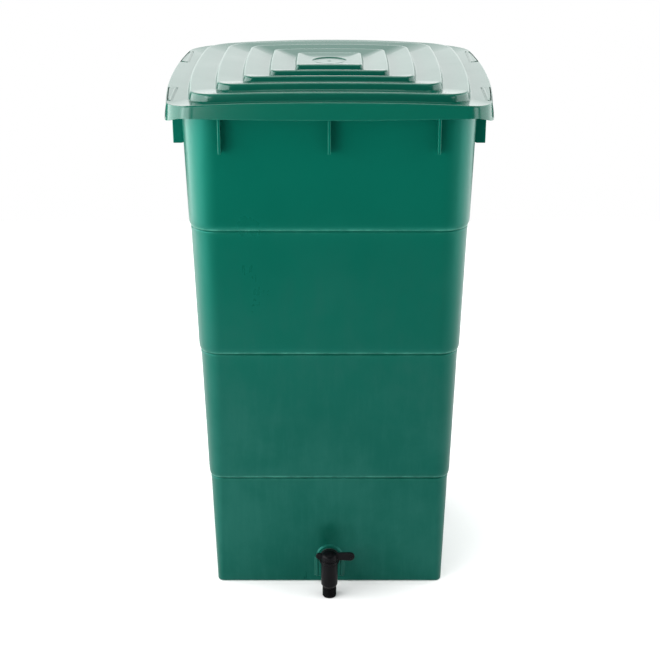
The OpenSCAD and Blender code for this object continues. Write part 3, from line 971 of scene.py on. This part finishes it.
def build_lock(corner):
    """A rocking lock: the tab in the slot, the knuckle on the pin, the hook below and a finger grip."""
    sx, sy = CORNERS[corner]

    def rock(x, y, z):
        """Rocks a point from locked to released about the pin, then mirrors it to its corner."""
        dx, dz = x - PIN_X, z - PIN_Z
        turned = (PIN_X + dx * math.cos(SWING) - dz * math.sin(SWING), y,
                  PIN_Z + dx * math.sin(SWING) + dz * math.cos(SWING))
        return (turned[0] * sx, turned[1] * sy, turned[2])

    first = SLOT_FROM + TAB_END_GAP
    last = SLOT_TO - TAB_END_GAP
    shape = Shape()
    outer_line = side_line(first + TAB_CORNER, last, SLOT_MARGIN + TAB_GAP)
    corner_x = outer_line[0][0]
    tab = rounded([(SLOT_IN + 0.7, last), (SLOT_IN + 0.7, first), (corner_x - TAB_CORNER, first),
                   (corner_x - 0.3 * TAB_CORNER, first + 0.3 * TAB_CORNER)] + outer_line, 2.0, 4)
    shape.slab(tab, TAB_LOW, TAB_HIGH, 0.7, rock, 0.6)
    knuckle = [(PIN_BORE_R, first), (KNUCKLE_R - 0.5, first), (KNUCKLE_R, first + 0.5),
               (KNUCKLE_R, last - 0.5), (KNUCKLE_R - 0.5, last), (PIN_BORE_R, last)]
    shape.lathe(knuckle, lambda u, v, h: rock(PIN_X + u, h, PIN_Z + v), 32, closed=True)
    outer = PIN_X + HOOK_OUT
    top = TAB_LOW + 0.3
    hook = rounded([(HOOK_TIP, HOOK_HIGH), (HOOK_TIP + 1, HOOK_LOW), (outer, HOOK_LOW), (outer, top),
                    (PIN_X, top), (PIN_X, HOOK_HIGH)], 1.0, 3)
    shape.slab(hook, HOOK_FROM, HOOK_TO, 0.7, lambda u, v, h: rock(u, h, v), 0.5)
    grip_in, grip_out = SLOT_IN + 3, SLOT_IN + 9.5
    grip = [(grip_in, GRIP_FROM), (grip_out, GRIP_FROM), (grip_out, GRIP_TO), (grip_in, GRIP_TO)]
    shape.slab(grip, TAB_HIGH - 0.8, TAB_HIGH + 0.4, 0.4, rock, 0.8)
    build("lock_" + corner, shape, ["lid_lock_" + corner], "lock_" + corner, LID_GREEN)


# ---------- tap ----------

def thread(shape, low, high, bore, place):
    """A threaded tube from low to high, with a clean bore and a thread that fades out at its ends."""
    steps = int((high - low) / THREAD_PITCH * ROWS_PER_TURN)
    outer = [(THREAD_R, low + (high - low) * i / steps) for i in range(steps + 1)]

    def radius_at(r, h, a):
        if r < THREAD_R:
            return r
        fade = smooth((h - low) / THREAD_FADE) * smooth((high - h) / THREAD_FADE)
        wave = 0.5 - 0.5 * math.cos(2 * math.pi * (h / THREAD_PITCH) - a)
        return THREAD_R - THREAD_DEPTH * (wave * fade + (1 - fade))

    shape.lathe(outer + [(bore, high), (bore, low)], place, closed=True, radius_at=radius_at)


def barrel_profile():
    """Upright barrel with its bore: lower rim, wall, a groove near the top, a round shoulder."""
    foot = [(BORE_R, BARREL_LOW), (13.2, BARREL_LOW), (14.0, 24.2), (15.2, 26.2), (15.6, 27.4)]
    groove = BARREL_R - 0.5
    wall = [(BARREL_R, 29.0), (BARREL_R, 66.0), (BARREL_R, 70.5), (groove, 71.0), (groove, 72.0),
            (BARREL_R, 72.5)]
    shoulder = arc(BARREL_R - 1.4, BARREL_TOP - 1.4, 1.4, 0, 90, 5)
    inside = [(SPINDLE_BORE_R, BARREL_TOP), (SPINDLE_BORE_R, BORE_TOP), (BORE_R, BORE_TOP)]
    return foot + wall + shoulder + inside


def flange_profile(face):
    """Flange against the tank, with a soft outer edge, and the neck that joins it to the barrel."""
    flange = [(WATER_R, face), (18.6, face), (19.6, face + 0.5), (FLANGE_R, face + 1.4),
              (FLANGE_R, face + 3.4), (19.6, face + 4.4), (18.6, face + 5.0)]
    neck = [(15.5, face + 5.2), (13.6, face + 6.0), (12.4, face + 7.6), (NECK_R, face + 9.6),
            (NECK_R, TAP_Y - 12.0), (12.8, TAP_Y - 9.0), (WATER_R, TAP_Y - 9.0)]
    return flange + neck


def build_tap_body():
    shape = Shape()
    face = PAD_FACE + WASHER_THICK
    shape.lathe(barrel_profile(), at_tap, closed=True)
    shape.lathe(flange_profile(face), forward, closed=True)
    thread(shape, STEM_END, face, WATER_R, forward)
    build("tap_housing", shape, ["tap_body"], "tank", BLACK)


# Lever fins: side, length from the tap's axis, upper and lower edge
FINS = ((1, 48.0, 93.0, 76.4), (-1, 25.6, 92.0, 79.0))


def build_lever():
    """Domed hub with a groove round it, two flat fins, and a small round boss on the long one."""
    shape = Shape()
    dome = []
    for degrees in range(0, 90, 9):
        a = math.radians(degrees)
        dome.append((HUB_R * math.cos(a), DOME_LOW + DOME_RISE * math.sin(a)))
    groove = HUB_R - 0.6
    wall = [(HUB_BORE_R, HUB_LOW), (HUB_R - 0.8, HUB_LOW), (HUB_R, HUB_LOW + 0.8), (HUB_R, 80.2),
            (groove, 80.7), (groove, 81.5), (HUB_R, 82.0)]
    inside = [(DIMPLE_R, DOME_LOW + DOME_RISE), (DIMPLE_R, 90.0), (HUB_BORE_R, 88.0)]
    shape.lathe(wall + dome + inside, at_tap, closed=True)
    for sign, length, high, low in FINS:
        middle = (high + low) / 2
        end = (high - low) / 2
        outline = [(HUB_R - 4, low + 3.5), (HUB_R + 2, low + 1.2)]
        outline += [(length - end + end * math.cos(math.radians(a)), middle + end * math.sin(math.radians(a)))
                    for a in range(-90, 91, 15)]
        outline += [(HUB_R + 2, high - 0.3), (HUB_R - 4, high - 2.5)]
        shape.slab(outline, -FIN_HALF_THICK, FIN_HALF_THICK, 1.3,
                   lambda u, v, h, s=sign: at_tap(s * u, -h, v), 0.6)
    boss = [(0.3, 2.2), (2.9, 2.2), (3.1, 2.8), (2.6, 3.5), (0.3, 3.7)]
    shape.lathe(boss, lambda u, v, h: at_tap(LEVER_BOSS_X + u, -h, LEVER_BOSS_Z + v), 24)
    build("lever_handle", shape, ["tap_lever"], "tap_valve", BLACK)


def build_nozzle():
    """Threaded outlet with a collar, and the plain spigot that sits in the barrel."""
    shape = Shape()
    thread(shape, OUTLET_LOW, OUTLET_COLLAR + 0.2, OUTLET_R, at_tap)
    collar = [(OUTLET_R, OUTLET_COLLAR), (12.6, OUTLET_COLLAR), (THREAD_R, 20.9), (THREAD_R, 21.9),
              (12.7, SPIGOT_LOW)]
    spigot = [(BORE_R, SPIGOT_LOW), (BORE_R, 31.9), (9.9, SPIGOT_TOP), (OUTLET_R, SPIGOT_TOP)]
    shape.lathe(collar + spigot, at_tap, closed=True)
    build("nozzle_thread", shape, ["outlet_nozzle"], "tank", BLACK)


def build_nut():
    """Hexagonal nut inside the tank, with chamfered corners and a washer face."""
    face = SEAT_FACE - WASHER_THICK
    back = face - NUT_THICK
    shape = Shape()

    def radius_at(r, h, a):
        if r < NUT_HALF - 1:
            return r
        sector = (a + math.pi / 6) % (math.pi / 3) - math.pi / 6
        return min(NUT_HALF / math.cos(sector), r)

    outside = [(19.0, face), (20.6, face - 0.9), (21.0, face - 1.5), (21.0, face - 8.5), (20.6, face - 9.1),
               (18.2, back)]
    bore = [(THREAD_R, back), (THREAD_R, face)]
    shape.lathe(outside + bore, forward, 96, closed=True, radius_at=radius_at)
    build("stem_nut", shape, ["lock_nut"], "tank", BLACK)


# ---------- pieces kept from the frame ----------

def finish_kept_nodes():
    """Gives the pieces that stay as the CAD made them their materials."""
    finishes = {
        RUBBER: ("plug_seal_upper", "plug_seal_lower", "nozzle_seal", "outer_washer", "inner_washer"),
        STEEL: tuple("lock_pin_" + c for c in CORNERS),
        BLACK: ("tap_plug",)}
    for material, nodes in finishes.items():
        for node in nodes:
            obj = frame["nodes"][node]
            for slot in obj.material_slots:
                slot.material = material


# ---------- studio ----------

SKY_SEEN = 1.0  # brightness of the surroundings behind the object
SKY_LIGHT = 0.42  # as a light on it
SKY_MIRRORED = 0.05  # and in its reflections
FLOOR_SIDE = 3.0
FLOOR_FRONT = -1.5
FLOOR_REAR = 2.2

# Name, place and aim in metres, size in metres, power in watts
LIGHTS = (
    ("soft_left", (-2.3, -0.65, 1.1), (-0.3, -0.65, 1.0), (4.1, 2.2), 150),
    ("soft_right", (2.4, 0.5, 1.1), (0.3, 0.5, 1.0), (3.6, 2.2), 80),
    ("front_left", (-1.6, -2.3, 0.9), (0, 0, 0.9), (1.4, 1.1), 32),
    ("front_right", (2.0, -1.9, 0.9), (0, 0, 0.9), (0.7, 1.0), 9),
    ("wall_behind", (0, 3.6, 2.7), (0, 0, 1.6), (7.0, 5.0), 200),
    ("top", (0, -0.6, 3.2), (0, 0, 0.3), (2.6, 2.2), 40))


def area_light(name, place, target, size, power):
    light = bpy.data.lights.new(name, "AREA")
    light.shape = "RECTANGLE"
    light.size, light.size_y = size
    light.energy = power
    obj = bpy.data.objects.new(name, light)
    obj.location = place
    aim = Vector([t - p for t, p in zip(target, place)])
    obj.rotation_euler = aim.to_track_quat("-Z", "Y").to_euler()
    obj.visible_camera = False
    bpy.context.scene.collection.objects.link(obj)


def floor():
    mesh = bpy.data.meshes.new("floor")
    corners = [(-FLOOR_SIDE, FLOOR_FRONT, 0), (FLOOR_SIDE, FLOOR_FRONT, 0), (FLOOR_SIDE, FLOOR_REAR, 0),
               (-FLOOR_SIDE, FLOOR_REAR, 0)]
    mesh.from_pydata(corners, [], [(0, 1, 2, 3)])
    obj = bpy.data.objects.new("floor", mesh)
    bpy.context.scene.collection.objects.link(obj)
    n = Nodes("pale_floor")
    color = n.mix(n.noise(2.0, 2.0), FLOOR_DEEP, FLOOR_LIGHT)
    mesh.materials.append(n.finish(color, n.window(n.noise(30.0), 0.3, 0.7, 0.6, 0.7)))


def surroundings():
    """White surroundings that look bright behind the object, but light it and mirror in it less."""
    world = bpy.data.worlds.new("studio")
    world.use_nodes = True
    tree = world.node_tree
    back = tree.nodes["Background"]
    back.inputs["Color"].default_value = (1, 1, 1, 1)
    ray = tree.nodes.new("ShaderNodeLightPath")
    shares = [tree.nodes.new("ShaderNodeMath") for _ in range(2)]
    for node, output, extra in zip(shares, ("Is Camera Ray", "Is Glossy Ray"), (SKY_SEEN, SKY_MIRRORED)):
        node.operation = "MULTIPLY_ADD"
        tree.links.new(ray.outputs[output], node.inputs[0])
        node.inputs[1].default_value = extra - SKY_LIGHT
    shares[0].inputs[2].default_value = SKY_LIGHT
    tree.links.new(shares[0].outputs[0], shares[1].inputs[2])
    tree.links.new(shares[1].outputs[0], back.inputs["Strength"])
    bpy.context.scene.world = world


CAMERA_PLACE = (0.0012, -2.877, 1.531)
CAMERA_DOWN_DEG = 20.75
SENSOR_MM = 36.0
LENS_MM = 84.76363636


def camera():
    bpy.context.scene.view_settings.view_transform = "Standard"
    data = bpy.data.cameras.new("camera")
    data.sensor_width = SENSOR_MM
    data.lens = LENS_MM
    obj = bpy.data.objects.new("camera", data)
    obj.location = CAMERA_PLACE
    obj.rotation_euler = (math.radians(90 - CAMERA_DOWN_DEG), 0, 0)
    bpy.context.scene.collection.objects.link(obj)
    bpy.context.scene.camera = obj


build_tank()
build_lid()
for corner_name in CORNERS:
    build_lock(corner_name)
build_tap_body()
build_lever()
build_nozzle()
build_nut()
finish_kept_nodes()
floor()
surroundings()
for light_values in LIGHTS:
    area_light(*light_values)
camera()
